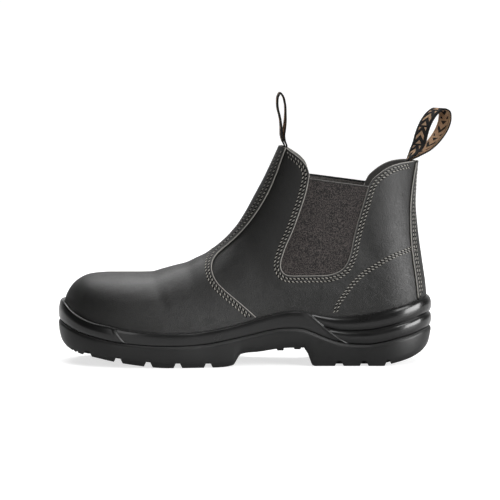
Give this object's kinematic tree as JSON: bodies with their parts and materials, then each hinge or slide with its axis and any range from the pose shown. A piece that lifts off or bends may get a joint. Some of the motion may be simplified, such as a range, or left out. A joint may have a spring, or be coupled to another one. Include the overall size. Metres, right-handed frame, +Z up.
{
  "type": "side gore work boot",
  "caption": "Left pull-on leather work boot with a hollow upper, elastic side gores, two webbing pull loops, a ribbed cushion midsole and a lugged rubber outsole with a heel.",
  "frame": {"origin": "on the floor, at the middle of the heel's flat tread", "axes": "+Z up, the toe along -X, the outer side of the foot along -Y"},
  "size_m": [0.3263, 0.1116, 0.2233],
  "materials": {
    "leather": "satin black full-grain",
    "elastic": "matte woven elastic",
    "webbing": "matte woven webbing with a tan motif",
    "cushion_rubber": "glossy moulded",
    "tread_rubber": "satin moulded",
    "insole_cloth": "matte"
  },
  "bodies": {
    "root": {"outsole": "tread_rubber", "midsole": "cushion_rubber", "insole": "insole_cloth", "upper": "leather", "vamp": "leather", "back_stay": "leather", "gore_outer": "elastic", "gore_inner": "elastic", "pull_loop_front": "webbing", "pull_loop_rear": "webbing"}
  },
  "joints": []
}
